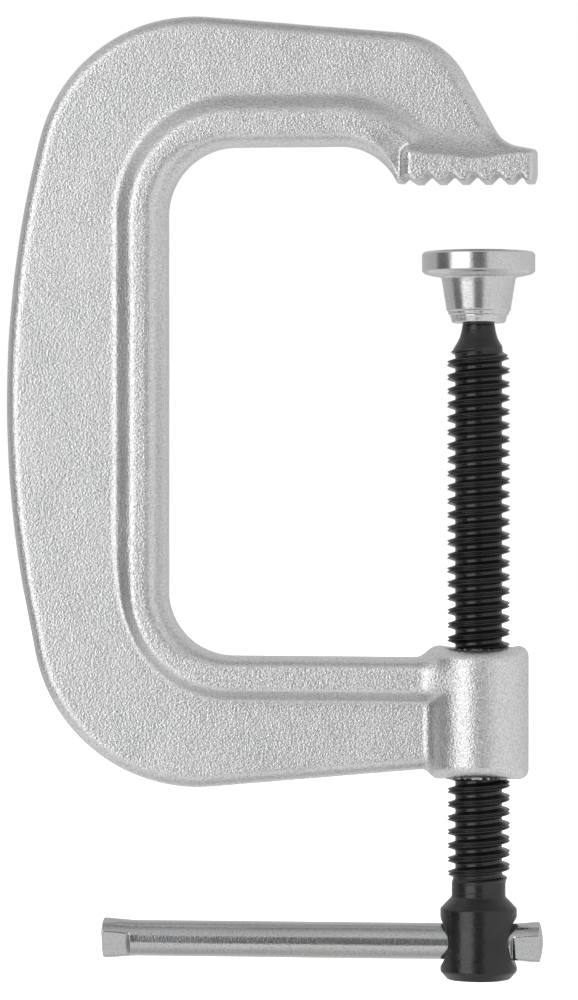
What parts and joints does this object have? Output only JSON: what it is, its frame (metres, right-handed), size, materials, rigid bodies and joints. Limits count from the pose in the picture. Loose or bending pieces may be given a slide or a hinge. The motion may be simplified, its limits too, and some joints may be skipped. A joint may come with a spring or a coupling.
{
  "type": "c clamp",
  "caption": "Forged steel C-clamp: ribbed C-shaped frame with a toothed jaw, trapezoidal-thread spindle, crimped swivel pad and sliding T-handle.",
  "frame": {"origin": "where the spindle axis meets the plane of the jaw's tooth tips", "axes": "+Z along the spindle axis towards the jaw, +X from the throat out past the jaw's nose, Y = 0 is the forging's parting plane"},
  "size_m": [0.1574, 0.033, 0.2805],
  "materials": {
    "zinc_forging": "blasted forging skin, bright zinc plated",
    "black_oxide": "black oxide, oiled, rolled thread",
    "zinc_turned": "fine turned, bright zinc plated",
    "zinc_bar": "drawn bar, bright zinc plated"
  },
  "bodies": {
    "frame": {"frame": "zinc_forging"},
    "ball": {"ball_end": "black_oxide"},
    "spindle": {"spindle": "black_oxide"},
    "pad": {"swivel_pad": "zinc_turned"},
    "handle": {"slide_handle": "zinc_bar"}
  },
  "joints": [
    {"name": "screw_advance", "type": "slide", "parent": "frame", "child": "ball", "axis": [0, 0, 1], "range_m": [-0.09201, 0.01651]},
    {"name": "screw_turn", "type": "hinge", "parent": "ball", "child": "spindle", "pos_m": [0, 0, -0.041], "axis": [0, 0, 1], "range_deg": [-8280, 1485]},
    {"name": "pad_tilt", "type": "hinge", "parent": "ball", "child": "pad", "pos_m": [0, 0, -0.0338], "axis": [0, 1, 0], "range_deg": [-6, 6]},
    {"name": "handle_slide", "type": "slide", "parent": "spindle", "child": "handle", "axis": [1, 0, 0], "range_m": [0, 0.0915]}
  ],
  "couplings": [
    {"joint": "screw_advance", "follows": "screw_turn", "m_per_rad": 0.00063662}
  ]
}
